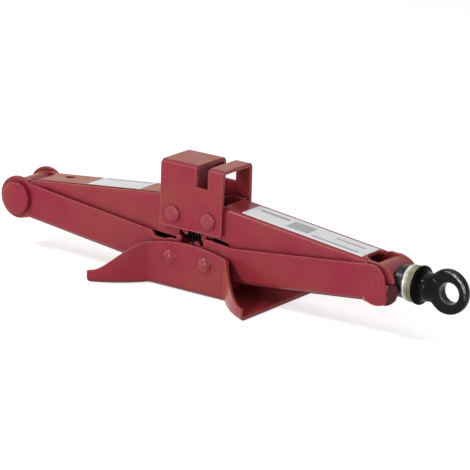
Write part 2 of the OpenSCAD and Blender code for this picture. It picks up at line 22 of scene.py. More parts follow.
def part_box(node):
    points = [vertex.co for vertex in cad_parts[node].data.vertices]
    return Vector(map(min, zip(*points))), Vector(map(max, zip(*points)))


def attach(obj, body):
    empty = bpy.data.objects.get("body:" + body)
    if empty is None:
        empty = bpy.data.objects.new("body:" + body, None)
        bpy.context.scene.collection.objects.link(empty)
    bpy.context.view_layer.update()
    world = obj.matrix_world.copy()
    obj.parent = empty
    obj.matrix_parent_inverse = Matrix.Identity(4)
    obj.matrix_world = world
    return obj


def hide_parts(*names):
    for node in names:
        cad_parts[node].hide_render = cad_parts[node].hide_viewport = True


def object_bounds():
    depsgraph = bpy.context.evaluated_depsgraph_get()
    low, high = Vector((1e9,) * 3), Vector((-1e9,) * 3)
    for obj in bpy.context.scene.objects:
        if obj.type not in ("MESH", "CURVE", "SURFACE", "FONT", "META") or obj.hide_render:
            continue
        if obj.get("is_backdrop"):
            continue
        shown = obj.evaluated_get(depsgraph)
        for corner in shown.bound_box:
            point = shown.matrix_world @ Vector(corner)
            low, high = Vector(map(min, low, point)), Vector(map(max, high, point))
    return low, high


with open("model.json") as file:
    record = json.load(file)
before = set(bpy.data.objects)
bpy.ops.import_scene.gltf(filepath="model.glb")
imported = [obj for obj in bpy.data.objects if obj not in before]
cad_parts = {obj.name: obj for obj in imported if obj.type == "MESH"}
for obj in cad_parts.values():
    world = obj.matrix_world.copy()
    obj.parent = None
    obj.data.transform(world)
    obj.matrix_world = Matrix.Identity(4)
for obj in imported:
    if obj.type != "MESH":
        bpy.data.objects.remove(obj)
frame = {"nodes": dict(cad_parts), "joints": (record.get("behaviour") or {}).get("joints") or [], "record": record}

cad_low, cad_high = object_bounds()

# %% [markdown]
# ## Places that the lesson works from
#
# The joints tell where the pivots are, so nothing has to be measured off the screen. The saddle's
# right pivot is the one place without a joint, because the linkage is a closed loop and is left
# open there. It mirrors the left one.

# %% Pivots, axes and a few sheet sizes
MM = 0.001

joints = {joint["name"]: joint for joint in frame["joints"]}
left_trunnion = Vector(joints["upper_left_fold"]["pos_m"])
right_trunnion = Vector(joints["upper_right_fold"]["pos_m"])
saddle_left = Vector(joints["saddle_level"]["pos_m"])
saddle_right = Vector((-saddle_left.x, saddle_left.y, saddle_left.z))
screw_z = right_trunnion.z
foot_right = Vector(joints["lower_right_fold"]["pos_m"])

WEB_TOP = 14.7 * MM
SCREW_R = 7.0 * MM
print("trunnions at x =", round(left_trunnion.x, 4), "and", round(right_trunnion.x, 4))

# %% [markdown]
# ## Small tools
#
# Blender's operators act on whatever is selected, so each tool below starts by deselecting
# everything. Faces, edges and points are then chosen in code by where they are, the way a
# modeller would box-select them.

# %% Selecting and editing
def pick(piece):
    bpy.ops.object.select_all(action="DESELECT")
    piece.select_set(True)
    bpy.context.view_layer.objects.active = piece


def start_editing(piece, kind="FACE"):
    pick(piece)
    bpy.ops.object.mode_set(mode="EDIT")
    bpy.ops.mesh.select_mode(type=kind)


def stop_editing():
    bpy.ops.object.mode_set(mode="OBJECT")


def choose_points(piece, test):
    mesh = bmesh.from_edit_mesh(piece.data)
    for face in mesh.faces:
        face.select = False
    for edge in mesh.edges:
        edge.select = False
    for point in mesh.verts:
        point.select = test(point.co)
    mesh.select_flush_mode()
    bmesh.update_edit_mesh(piece.data)


def remember_points(piece, name, test):
    group = piece.vertex_groups.new(name=name)
    start_editing(piece, "VERT")
    choose_points(piece, test)
    piece.vertex_groups.active_index = group.index
    bpy.context.scene.tool_settings.vertex_group_weight = 1.0
    bpy.ops.object.vertex_group_assign()
    stop_editing()


def apply_modifiers(piece):
    pick(piece)
    for modifier in list(piece.modifiers):
        bpy.ops.object.modifier_apply(modifier=modifier.name)


def apply_place(piece):
    pick(piece)
    bpy.ops.object.transform_apply(location=True, rotation=True, scale=True)


def triangles(piece):
    return sum(len(face.vertices) - 2 for face in piece.data.polygons)


print("selection tools ready")

# %% [markdown]
# ## The camera
#
# The view is the photograph's: from the front right, a little above, with a long lens from two
# and a half metres away. The aim is a point on the jack's middle, and the picture is moved so that
# the jack lands where it does in the photograph. Moving the camera sideways and turning it do that
# job, so no lens shift is needed.

# %% Camera from the photograph's viewing angle
PHOTO_SIDE = 470
FOCAL_PIXELS = 3250.0
SENSOR = 36.0
AZIMUTH = math.radians(35.579)
ELEVATION = math.radians(16.951)
ROLL = math.radians(1.68)
DISTANCE = 2600.0 * MM
SIDE_STEP = -23.842 * MM
UP_STEP = 6.82 * MM
AIM = Vector((0, 0, 50.0 * MM))

right = Vector((math.cos(AZIMUTH), math.sin(AZIMUTH), 0))
forward = Vector((
    -math.sin(AZIMUTH) * math.cos(ELEVATION),
    math.cos(AZIMUTH) * math.cos(ELEVATION),
    -math.sin(ELEVATION),
))
up = right.cross(forward)
right_rolled = right * math.cos(ROLL) + up * math.sin(ROLL)
up_rolled = up * math.cos(ROLL) - right * math.sin(ROLL)

bpy.ops.object.camera_add()
camera = bpy.context.object
camera.name = "camera"
camera.data.lens = FOCAL_PIXELS / PHOTO_SIDE * SENSOR
camera.data.sensor_width = SENSOR
camera.data.clip_start = 0.1
camera.data.clip_end = 50
turn = Matrix((right_rolled, up_rolled, -forward)).transposed()
place = AIM - right_rolled * SIDE_STEP - up_rolled * UP_STEP - forward * DISTANCE
camera.matrix_world = Matrix.Translation(place) @ turn.to_4x4()
bpy.context.scene.camera = camera
print("camera lens", round(camera.data.lens, 1), "mm, at", [round(c, 3) for c in place])

# %% [markdown]
# ## Room and light
#
# A catalogue picture like this one has a white surround that wraps the object in soft light. The
# world is white to the camera and in reflections, and a soft grey for everything else, so the
# paint isn't washed out. The floor is nearly white and still takes the jack's shadow. A little
# glow, for the same rays only, lifts it to the surround's white without lighting the jack.

# %% White surround
def add_node(tree, kind, **settings):
    made = tree.nodes.new(kind)
    for key, value in settings.items():
        setattr(made, key, value)
    return made


def seen_or_reflected(tree):
    rays = add_node(tree, "ShaderNodeLightPath")
    found = rays.outputs["Is Camera Ray"]
    for kind in ("Is Glossy Ray", "Is Transmission Ray"):
        either = add_node(tree, "ShaderNodeMath", operation="MAXIMUM")
        tree.links.new(found, either.inputs[0])
        tree.links.new(rays.outputs[kind], either.inputs[1])
        found = either.outputs[0]
    return found


WHITE = (1, 1, 1, 1)
WORLD_LIGHT = 0.22
WORLD_WHITE = 1.0

world = bpy.data.worlds.new("white_surround")
bpy.context.scene.world = world
world.use_nodes = True
tree = world.node_tree
tree.nodes.clear()
either = add_node(tree, "ShaderNodeMixShader")
tree.links.new(seen_or_reflected(tree), either.inputs["Fac"])
for socket, strength in ((1, WORLD_LIGHT), (2, WORLD_WHITE)):
    surround = add_node(tree, "ShaderNodeBackground")
    surround.inputs["Color"].default_value = WHITE
    surround.inputs["Strength"].default_value = strength
    tree.links.new(surround.outputs[0], either.inputs[socket])
out = add_node(tree, "ShaderNodeOutputWorld")
tree.links.new(either.outputs[0], out.inputs["Surface"])
bpy.context.scene.view_settings.view_transform = "Standard"
print("surround lights at", WORLD_LIGHT)

# %% Floor that keeps the shadow
FLOOR_SIZE = 14.0
FLOOR_GAP = 0.02 * MM
FLOOR_COLOR = (0.86, 0.86, 0.86, 1)
FLOOR_GLOW = 0.62

bpy.ops.mesh.primitive_plane_add(size=FLOOR_SIZE, location=(0, 0, -FLOOR_GAP))
floor = bpy.context.object
floor.name = "floor"
floor_finish = bpy.data.materials.new("pale_floor")
floor_finish.use_nodes = True
tree = floor_finish.node_tree
tree.nodes.clear()
matt = add_node(tree, "ShaderNodeBsdfDiffuse")
matt.inputs["Color"].default_value = FLOOR_COLOR
glow = add_node(tree, "ShaderNodeEmission")
glow.inputs["Color"].default_value = WHITE
share = add_node(tree, "ShaderNodeMath", operation="MULTIPLY")
share.inputs[1].default_value = FLOOR_GLOW
both = add_node(tree, "ShaderNodeAddShader")
out = add_node(tree, "ShaderNodeOutputMaterial")
tree.links.new(seen_or_reflected(tree), share.inputs[0])
tree.links.new(share.outputs[0], glow.inputs["Strength"])
tree.links.new(matt.outputs[0], both.inputs[0])
tree.links.new(glow.outputs[0], both.inputs[1])
tree.links.new(both.outputs[0], out.inputs["Surface"])
floor.data.materials.append(floor_finish)
floor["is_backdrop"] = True
print("floor of", FLOOR_SIZE, "m")

# %% [markdown]
# Five soft boxes stand round the jack: a key from the upper left, a wide one overhead, a strip on
# each side, and one in front that draws the highlight on the rivets. Places and sizes are in
# metres, and powers in watts.

# %% Lamps
def softbox(name, position, target, width, height, power):
    bpy.ops.object.light_add(type="AREA", location=position)
    lamp = bpy.context.object
    lamp.name = name
    lamp.data.shape = "RECTANGLE"
    lamp.data.size = width
    lamp.data.size_y = height
    lamp.data.energy = power
    aim = Vector(target) - Vector(position)
    lamp.rotation_mode = "QUATERNION"
    lamp.rotation_quaternion = aim.to_track_quat("-Z", "Y")


softbox("key_box", (-0.72, -0.85, 1.25), (0, 0, 0.05), 0.24, 0.24, 8)
softbox("overhead_box", (0.1, 0.35, 1.5), (0, 0, 0.05), 1.6, 1.0, 4)
softbox("left_strip", (-1.3, -0.55, 0.2), (0, 0, 0.05), 0.12, 0.5, 2.5)
softbox("right_strip", (1.5, -0.5, 0.4), (0.1, 0, 0.05), 0.16, 0.6, 4)
softbox("front_box", (0.06, -1.6, 0.42), (0.05, 0, 0.05), 0.42, 0.58, 9.5)
print("five softboxes hung")

# %% [markdown]
# ## Effects that several finishes share
#
# Paint, oxide, zinc and bare steel all need the same few ingredients: an uneven grain, a mask for
# sharp edges, which gives wear on the oxide and a painted highlight on the paint, and a mask for
# tight corners, which gives painted shade on the paint and darker grooves on the zinc. Each is
# built once as a node group with named sockets, and every finish sets its own numbers on it. All
# of them read object coordinates, so they stay put on the part and look the same from every side.

# %% Groups of nodes
def new_group(name, inputs, outputs):
    group = bpy.data.node_groups.new(name, "ShaderNodeTree")
    for socket, kind, value in inputs:
        made = group.interface.new_socket(name=socket, in_out="INPUT", socket_type=kind)
        made.default_value = value
    for socket, kind in outputs:
        group.interface.new_socket(name=socket, in_out="OUTPUT", socket_type=kind)
    start = add_node(group, "NodeGroupInput")
    end = add_node(group, "NodeGroupOutput")
    return group, start, end


def math_node(group, operation, a, b=None, clamp=False):
    made = add_node(group, "ShaderNodeMath", operation=operation, use_clamp=clamp)
    for index, source in enumerate((a, b)):
        if source is None:
            continue
        if isinstance(source, (int, float)):
            made.inputs[index].default_value = source
        else:
            group.links.new(source, made.inputs[index])
    return made.outputs[0]


FLOAT = "NodeSocketFloat"
grain, start, end = new_group(
    "uneven grain",
    [
        ("Cells per Metre", FLOAT, 500.0),
        ("Detail", FLOAT, 3.0),
        ("Low", FLOAT, 0.0),
        ("High", FLOAT, 1.0),
    ],
    [("Value", FLOAT)],
)
spot = add_node(grain, "ShaderNodeTexCoord")
noise = add_node(grain, "ShaderNodeTexNoise")
reach = add_node(grain, "ShaderNodeMapRange")
grain.links.new(spot.outputs["Object"], noise.inputs["Vector"])
grain.links.new(start.outputs["Cells per Metre"], noise.inputs["Scale"])
grain.links.new(start.outputs["Detail"], noise.inputs["Detail"])
grain.links.new(noise.outputs["Fac"], reach.inputs["Value"])
reach.inputs["From Min"].default_value = 0.3
reach.inputs["From Max"].default_value = 0.7
grain.links.new(start.outputs["Low"], reach.inputs["To Min"])
grain.links.new(start.outputs["High"], reach.inputs["To Max"])
grain.links.new(reach.outputs["Result"], end.inputs["Value"])
print("group:", grain.name)

# %% A mask for sharp edges, for wear and for a painted highlight
edge_wear_and_highlight, start, end = new_group(
    "edge wear and highlight",
    [
        ("Radius", FLOAT, 0.0008),
        ("Breaks per Metre", FLOAT, 160.0),
        ("Amount", FLOAT, 1.0),
    ],
    [("Mask", FLOAT)],
)
rounded = add_node(edge_wear_and_highlight, "ShaderNodeBevel", samples=6)
surface = add_node(edge_wear_and_highlight, "ShaderNodeNewGeometry")
agree = add_node(edge_wear_and_highlight, "ShaderNodeVectorMath", operation="DOT_PRODUCT")
edge_wear_and_highlight.links.new(start.outputs["Radius"], rounded.inputs["Radius"])
edge_wear_and_highlight.links.new(rounded.outputs["Normal"], agree.inputs[0])
edge_wear_and_highlight.links.new(surface.outputs["Normal"], agree.inputs[1])
differ = math_node(edge_wear_and_highlight, "SUBTRACT", 1.0, agree.outputs["Value"])
spot = add_node(edge_wear_and_highlight, "ShaderNodeTexCoord")
breaks = add_node(edge_wear_and_highlight, "ShaderNodeTexNoise")
breaks.inputs["Detail"].default_value = 4.0
edge_wear_and_highlight.links.new(spot.outputs["Object"], breaks.inputs["Vector"])
edge_wear_and_highlight.links.new(start.outputs["Breaks per Metre"], breaks.inputs["Scale"])
patchy = math_node(edge_wear_and_highlight, "MULTIPLY", differ, breaks.outputs["Fac"])
scaled = math_node(edge_wear_and_highlight, "MULTIPLY", patchy, 9.0)
wanted = math_node(edge_wear_and_highlight, "MULTIPLY", scaled, start.outputs["Amount"], clamp=True)
edge_wear_and_highlight.links.new(wanted, end.inputs["Mask"])
print("group:", edge_wear_and_highlight.name)

# %% A mask for tight corners
corner, start, end = new_group(
    "tight corners",
    [("Reach", FLOAT, 0.004), ("Amount", FLOAT, 1.0)],
    [("Mask", FLOAT)],
)
open_sky = add_node(corner, "ShaderNodeAmbientOcclusion", samples=6)
corner.links.new(start.outputs["Reach"], open_sky.inputs["Distance"])
closed = math_node(corner, "SUBTRACT", 1.0, open_sky.outputs["AO"])
wanted = math_node(corner, "MULTIPLY", closed, start.outputs["Amount"], clamp=True)
corner.links.new(wanted, end.inputs["Mask"])
print("group:", corner.name)

# %% Lathe lines round the screw's axis
turned, start, end = new_group(
    "lathe lines",
    [("Lines per Metre", FLOAT, 2500.0), ("Waviness", FLOAT, 3.0)],
    [("Value", FLOAT)],
)
spot = add_node(turned, "ShaderNodeTexCoord")
bands = add_node(turned, "ShaderNodeTexWave", wave_type="BANDS", bands_direction="X")
bands.inputs["Detail"].default_value = 2.0
bands.inputs["Detail Scale"].default_value = 1.6
turned.links.new(spot.outputs["Object"], bands.inputs["Vector"])
turned.links.new(start.outputs["Lines per Metre"], bands.inputs["Scale"])
turned.links.new(start.outputs["Waviness"], bands.inputs["Distortion"])
turned.links.new(bands.outputs["Fac"], end.inputs["Value"])
print("group:", turned.name)

# %% [markdown]
# ## Finishes
#
# A finish is one short function: it sets the plain numbers straight on the shader, and wires in
# only what changes over the surface. `use_group` places a shared effect and sets its numbers.
# `ramp` turns a length into a mask, and two more tools measure how far a point of the part lies
# from an axis.

# %% Tools for writing a finish
def new_finish(name):
    finish = bpy.data.materials.new(name)
    finish.use_nodes = True
    shader = finish.node_tree.nodes["Principled BSDF"]
    return finish, finish.node_tree, shader


def use_group(tree, group, **numbers):
    made = add_node(tree, "ShaderNodeGroup", node_tree=group)
    for key, value in numbers.items():
        made.inputs[key.replace("_", " ")].default_value = value
    return made.outputs[0]


def mix_colors(tree, mask, first, second):
    made = add_node(tree, "ShaderNodeMix", data_type="RGBA")
    tree.links.new(mask, made.inputs["Factor"])
    for socket, source in (("A", first), ("B", second)):
        target = [s for s in made.inputs if s.name == socket and s.type == "RGBA"][0]
        if isinstance(source, tuple):
            target.default_value = (*source, 1)
        else:
            tree.links.new(source, target)
    return [s for s in made.outputs if s.type == "RGBA"][0]


def bump(tree, shader, height, strength, distance):
    made = add_node(tree, "ShaderNodeBump")
    made.inputs["Strength"].default_value = strength
    made.inputs["Distance"].default_value = distance
    tree.links.new(height, made.inputs["Height"])
    tree.links.new(made.outputs["Normal"], shader.inputs["Normal"])


def ramp(tree, source, zero_at, one_at):
    made = add_node(tree, "ShaderNodeMapRange")
    made.inputs["From Min"].default_value = zero_at
    made.inputs["From Max"].default_value = one_at
    tree.links.new(source, made.inputs["Value"])
    return made.outputs["Result"]


def split_axes(tree, vector):
    split = add_node(tree, "ShaderNodeSeparateXYZ")
    tree.links.new(vector, split.inputs["Vector"])
    return split.outputs


def object_spot(tree):
    return add_node(tree, "ShaderNodeTexCoord").outputs["Object"]


def offset_from(tree, center):
    away = add_node(tree, "ShaderNodeVectorMath", operation="SUBTRACT")
    away.inputs[1].default_value = center
    tree.links.new(object_spot(tree), away.inputs[0])
    return away.outputs["Vector"]


ACROSS_SCREW = (0, 1, 1)
ACROSS_PIN = (1, 0, 1)


def distance_off_axis(tree, offset, across):
    flat = add_node(tree, "ShaderNodeVectorMath", operation="MULTIPLY")
    flat.inputs[1].default_value = across
    length = add_node(tree, "ShaderNodeVectorMath", operation="LENGTH")
    tree.links.new(offset, flat.inputs[0])
    tree.links.new(flat.outputs["Vector"], length.inputs[0])
    return length.outputs["Value"]


print("finish tools ready")

# %% [markdown]
# ### Crimson enamel
#
# The sheet parts are dipped in a semi-gloss crimson enamel. Up close such paint has a faint orange
# peel and slow drifts between a bluish and a brownish red where the film is thicker or thinner. A
# paler line is painted along sharp edges as a painted highlight. Where the paint is seen at a low
# angle and is open to the sky, it is painted browner, a painted sheen. Tight corners are painted
# dark as painted shade, and so is a patch beside the screw's thrust parts. The rivets' round heads
# have the same paint, only smoother and glossier.

# %% Crimson enamel
BLUISH_RED = (0.298, 0.012, 0.041)
BROWNISH_RED = (0.308, 0.047, 0.042)
# The colours below are painted light: a sheen brown, an edge highlight red, and three dark colours of painted
# shade.
PAINTED_SHEEN_BROWN = (0.40, 0.070, 0.010)
EDGE_HIGHLIGHT_RED = (0.60, 0.20, 0.17)
PAINTED_CORNER_SHADE = (0.050, 0.002, 0.005)
BLACK_PAINTED_SHADE = (0.030, 0.002, 0.003)
RED_PAINTED_SHADE = (0.050, 0.001, 0.004)
SLANT_START = 0.64
SLANT_END = 0.77
SHADE_FADE_X = 2.0 * MM
SHADE_FADE_Z = -3.5 * MM


# Painted shade: a dark patch past a corner point near the right trunnion, where shade falls between the flanges.
def painted_shade_patch(tree, corner_point):
    spot = split_axes(tree, object_spot(tree))
    smear = use_group(tree, grain, Cells_per_Metre=300.0, Detail=3.0, Low=-0.8 * MM, High=0.8 * MM)
    beyond = math_node(tree, "ADD", spot["X"], smear)
    below = math_node(tree, "ADD", spot["Z"], smear)
    return math_node(
        tree,
        "MULTIPLY",
        ramp(tree, beyond, corner_point.x, corner_point.x + SHADE_FADE_X),
        ramp(tree, below, corner_point.z, corner_point.z + SHADE_FADE_Z),
    )


def crimson_enamel(
    name,
    shade_from=None,
    shade_color=BLACK_PAINTED_SHADE,
    mirror=0.22,
    smoothest=0.27,
    roughest=0.38,
    peel=0.10,
    edge_highlight_amount=1.1,
):
    finish, tree, shader = new_finish(name)
    shader.inputs["Specular IOR Level"].default_value = mirror
    drift = use_group(tree, grain, Cells_per_Metre=26.0, Detail=4.0, Low=0.0, High=1.0)
    film = mix_colors(tree, drift, BLUISH_RED, BROWNISH_RED)
    # Painted sheen: seen at a low angle and away from tight corners, the paint is painted browner.
    slant = add_node(tree, "ShaderNodeLayerWeight")
    low_angle = ramp(tree, slant.outputs["Facing"], SLANT_START, SLANT_END)
    shaded = use_group(tree, corner, Reach=40.0 * MM, Amount=1.6)
    open_air = math_node(tree, "SUBTRACT", 1.0, shaded, clamp=True)
    painted_sheen = math_node(tree, "MULTIPLY", low_angle, open_air)
    with_painted_sheen = mix_colors(tree, painted_sheen, film, PAINTED_SHEEN_BROWN)
    # Painted highlight: a paler line is painted along sharp edges.
    edge_highlight_mask = use_group(tree, edge_wear_and_highlight, Radius=1.5 * MM, Breaks_per_Metre=220.0, Amount=edge_highlight_amount)
    with_edge_highlight = mix_colors(tree, edge_highlight_mask, with_painted_sheen, EDGE_HIGHLIGHT_RED)
    # Painted shade: tight corners are painted dark.
    corner_shade_mask = use_group(tree, corner, Reach=6.0 * MM, Amount=0.85)
    color = mix_colors(tree, corner_shade_mask, with_edge_highlight, PAINTED_CORNER_SHADE)
    # Where asked, the patch by the right trunnion is painted dark as painted shade.
    if shade_from is not None:
        color = mix_colors(tree, painted_shade_patch(tree, shade_from), color, shade_color)
    tree.links.new(color, shader.inputs["Base Color"])
    sheen = use_group(
        tree, grain, Cells_per_Metre=90.0, Detail=3.0, Low=smoothest, High=roughest
    )
    tree.links.new(sheen, shader.inputs["Roughness"])
    dimples = use_group(tree, grain, Cells_per_Metre=900.0, Detail=2.0, Low=0.0, High=1.0)
    bump(tree, shader, dimples, peel, 0.06 * MM)
    return finish


enamel = crimson_enamel("crimson_enamel")
# The upper right arm and the plain trunnion carry a black painted shade patch by the trunnion.
enamel_with_painted_shade = crimson_enamel(
    "crimson_enamel_painted_shade",
    shade_from=right_trunnion + Vector((6.5 * MM, 0, 3.0 * MM)),
)
# The lower right arm's lips carry a dark red painted shade patch.
lip_enamel = crimson_enamel(
    "crimson_enamel_lip",
    shade_from=right_trunnion + Vector((9.2 * MM, 0, 4.0 * MM)),
    shade_color=RED_PAINTED_SHADE,
)
rivet_enamel = crimson_enamel(
    "crimson_enamel_rivets", mirror=0.38, smoothest=0.30, roughest=0.36, peel=0.015, edge_highlight_amount=0.1
)
print("finishes:", enamel.name, enamel_with_painted_shade.name, lip_enamel.name, rivet_enamel.name)

# %% [markdown]
# ### Black oxide
#
# The eye is forged and blackened. The forging leaves fine lumps on it, and the oiled oxide is
# glossy, with a rusty brown showing only where it is rubbed. An arc on the upper right of the rim
# is painted as bright bare steel, a painted highlight, and the mouth of the hole is painted paler
# and metallic, partly as wear and partly as a painted highlight. Their places come from the eye's
# own box and from the mount in its hole.

# %% Black oxide
OXIDE_DARK = (0.002, 0.002, 0.003)
OXIDE_LIGHT = (0.006, 0.006, 0.006)
RUSTY_BROWN = (0.040, 0.034, 0.030)
# Bright bare steel for a painted highlight, partly wear at the hole's mouth.
STEEL_WEAR_AND_HIGHLIGHT = (0.42, 0.42, 0.43)
ARC_INNER = 2.6 * MM
ARC_OUTER = 0.4 * MM
ARC_FADE = 1.0 * MM
MOUTH_WIDTH = 0.9 * MM
MOUTH_FULL = 0.2 * MM
MOUTH_SHARE = 0.45

eye_low, eye_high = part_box("drive_eye")
hole = next(mount for mount in frame["record"]["mounts"] if mount["name"] == "drive_eye_hole")
hole_x = hole["pos_m"][0]
hole_r = hole["dims"]["r_mm"] * MM
eye_half = hole["dims"]["length_mm"] / 2 * MM
eye_r = (eye_high.z - eye_low.z) / 2
eye_x = eye_high.x - eye_r


# Painted highlight: a bright arc on the upper right of the eye's rim.
def painted_rim_highlight(tree, from_middle):
    radius = distance_off_axis(tree, from_middle, ACROSS_PIN)
    outside = ramp(tree, radius, eye_r - ARC_INNER, eye_r - ARC_INNER + ARC_FADE)
    inside = ramp(tree, radius, eye_r - ARC_OUTER, eye_r - ARC_OUTER - ARC_FADE)
    band = math_node(tree, "MULTIPLY", outside, inside)
    spot = split_axes(tree, from_middle)
    up_and_out = math_node(tree, "ADD", spot["X"], spot["Z"])
    return math_node(tree, "MULTIPLY", band, ramp(tree, up_and_out, eye_r * 0.7, eye_r * 1.25))


# The mouth of the hole is painted paler, partly as wear and partly as a painted highlight.
def mouth_wear_and_highlight(tree, from_middle):
    from_hole = offset_from(tree, (hole_x, 0, screw_z))
    radius = distance_off_axis(tree, from_hole, ACROSS_PIN)
    ring = ramp(tree, radius, hole_r + MOUTH_WIDTH, hole_r + MOUTH_FULL)
    depth = math_node(tree, "ABSOLUTE", split_axes(tree, from_middle)["Y"])
    at_faces = ramp(tree, depth, eye_half - 2.0 * MM, eye_half - 0.9 * MM)
    return math_node(tree, "MULTIPLY", math_node(tree, "MULTIPLY", ring, at_faces), MOUTH_SHARE)


def wear_and_painted_highlight(tree):
    from_middle = offset_from(tree, (eye_x, 0, screw_z))
    both = math_node(
        tree, "MAXIMUM", painted_rim_highlight(tree, from_middle), mouth_wear_and_highlight(tree, from_middle)
    )
    patches = use_group(tree, grain, Cells_per_Metre=420.0, Detail=4.0, Low=0.1, High=1.2)
    return math_node(tree, "MULTIPLY", both, patches, clamp=True)


def black_oxide(name, mirror, smoothest, roughest, lumpiness, with_rim_highlight=False):
    finish, tree, shader = new_finish(name)
    shader.inputs["Specular IOR Level"].default_value = mirror
    clouds = use_group(tree, grain, Cells_per_Metre=120.0, Detail=4.0, Low=0.0, High=1.0)
    skin = mix_colors(tree, clouds, OXIDE_DARK, OXIDE_LIGHT)
    worn = use_group(tree, edge_wear_and_highlight, Radius=0.7 * MM, Breaks_per_Metre=300.0, Amount=0.4)
    color = mix_colors(tree, worn, skin, RUSTY_BROWN)
    if with_rim_highlight:
        # The rim arc and the hole's mouth are painted bright and metallic: a painted highlight, partly wear.
        highlight_and_wear = wear_and_painted_highlight(tree)
        color = mix_colors(tree, highlight_and_wear, color, STEEL_WEAR_AND_HIGHLIGHT)
        tree.links.new(highlight_and_wear, shader.inputs["Metallic"])
    tree.links.new(color, shader.inputs["Base Color"])
    gloss = use_group(
        tree, grain, Cells_per_Metre=240.0, Detail=3.0, Low=smoothest, High=roughest
    )
    tree.links.new(gloss, shader.inputs["Roughness"])
    lumps = use_group(tree, grain, Cells_per_Metre=330.0, Detail=3.0, Low=0.0, High=1.0)
    bump(tree, shader, lumps, lumpiness, 0.12 * MM)
    return finish


oxide = black_oxide("forged_black_oxide", 0.12, 0.15, 0.27, 0.22, with_rim_highlight=True)
turned_oxide = black_oxide("turned_black_oxide", 0.02, 0.20, 0.32, 0.10)
print("finishes:", oxide.name, turned_oxide.name)

# %% [markdown]
# ### Screw steel
#
# The screw is dark and oily in its grooves, and the crests are burnished by the nut. The mask for
# that is simply how far a point lies from the screw's axis, worked out from object coordinates.

# %% Screw steel
OILY_BLACK = (0.012, 0.011, 0.010)
OILY_BROWN = (0.035, 0.031, 0.027)
CREST_STEEL = (0.16, 0.155, 0.15)


def screw_steel():
    finish, tree, shader = new_finish("screw_steel")
    radius = distance_off_axis(tree, offset_from(tree, (0, 0, screw_z)), ACROSS_SCREW)
    crest = ramp(tree, radius, SCREW_R * 0.93, SCREW_R * 0.99)
    oil = use_group(tree, grain, Cells_per_Metre=150.0, Detail=4.0, Low=0.0, High=1.0)
    grooves = mix_colors(tree, oil, OILY_BLACK, OILY_BROWN)
    color = mix_colors(tree, crest, grooves, CREST_STEEL)
    tree.links.new(color, shader.inputs["Base Color"])
    shader.inputs["Metallic"].default_value = 0.85
    gloss = use_group(tree, grain, Cells_per_Metre=420.0, Detail=3.0, Low=0.24, High=0.46)
    tree.links.new(gloss, shader.inputs["Roughness"])
    marks = use_group(tree, grain, Cells_per_Metre=1500.0, Detail=2.0, Low=0.0, High=1.0)
    bump(tree, shader, marks, 0.2, 0.03 * MM)
    return finish


steel_screw = screw_steel()
print("finish:", steel_screw.name)

# %% [markdown]
# ### Turned steel and yellow zinc
#
# The thrust washer is turned steel that has gone dark. The bush beside it is zinc plated and
# passivated, which gives a greenish yellow. On the washer's side it is painted pale, partly as wear
# and partly as a painted highlight, and it is darker in tight grooves. Both show fine lathe lines.

# %% Turned steel and yellow zinc
STEEL_DARK = (0.010, 0.011, 0.013)
STEEL_LIGHT = (0.050, 0.053, 0.060)
ZINC_DARK = (0.15, 0.15, 0.082)
ZINC_LIGHT = (0.25, 0.24, 0.165)
# A pale zinc, painted as a highlight that is partly wear.
ZINC_PALE_WEAR_AND_HIGHLIGHT = (0.74, 0.72, 0.68)
# A darker zinc for tight grooves and corners.
ZINC_GROOVE_DARK = (0.055, 0.052, 0.036)

bush_low, bush_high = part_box("thrust_bush")
PALE_FULL = bush_low.x + 0.5 * MM
PALE_END = bush_low.x + 5.2 * MM


def turned_steel():
    finish, tree, shader = new_finish("turned_steel")
    stain = use_group(tree, grain, Cells_per_Metre=130.0, Detail=4.0, Low=0.0, High=1.0)
    color = mix_colors(tree, stain, STEEL_DARK, STEEL_LIGHT)
    tree.links.new(color, shader.inputs["Base Color"])
    shader.inputs["Metallic"].default_value = 0.5
    shader.inputs["Specular IOR Level"].default_value = 0.15
    gloss = use_group(tree, grain, Cells_per_Metre=380.0, Detail=3.0, Low=0.24, High=0.40)
    tree.links.new(gloss, shader.inputs["Roughness"])
    lines = use_group(tree, turned, Lines_per_Metre=900.0, Waviness=1.2)
    bump(tree, shader, lines, 0.25, 0.02 * MM)
    return finish


def yellow_zinc():
    finish, tree, shader = new_finish("yellow_zinc")
    drift = use_group(tree, grain, Cells_per_Metre=110.0, Detail=3.0, Low=0.0, High=1.0)
    # On the washer's side the zinc is painted pale: partly wear, partly a painted highlight.
    along = ramp(tree, split_axes(tree, object_spot(tree))["X"], PALE_FULL, PALE_END)
    yellow = mix_colors(tree, drift, ZINC_DARK, ZINC_LIGHT)
    plated = mix_colors(tree, along, ZINC_PALE_WEAR_AND_HIGHLIGHT, yellow)
    # Tight grooves and corners are made darker.
    darker_in_grooves = use_group(tree, corner, Reach=1.0 * MM, Amount=0.7)
    color = mix_colors(tree, darker_in_grooves, plated, ZINC_GROOVE_DARK)
    tree.links.new(color, shader.inputs["Base Color"])
    shader.inputs["Metallic"].default_value = 1.0
    gloss = use_group(tree, grain, Cells_per_Metre=520.0, Detail=3.0, Low=0.32, High=0.48)
    tree.links.new(gloss, shader.inputs["Roughness"])
    lines = use_group(tree, turned, Lines_per_Metre=1100.0, Waviness=0.8)
    bump(tree, shader, lines, 0.25, 0.02 * MM)
    return finish


steel_turned = turned_steel()
zinc = yellow_zinc()
print("finishes:", steel_turned.name, zinc.name)

# %% [markdown]
# ### Sticker film
#
# Each upper arm carries a white vinyl sticker. Nothing is written on these: a few plain grey bars
# stand for print. The bars come from simple comparisons of the sticker's own UV map, so they
# follow it where it bends over the arm's edge.

# %% Sticker film
PAPER_GREY = (0.86, 0.86, 0.88)
PAPER_WHITE = (0.92, 0.92, 0.94)
PRINT_GREY = (0.40, 0.41, 0.44)


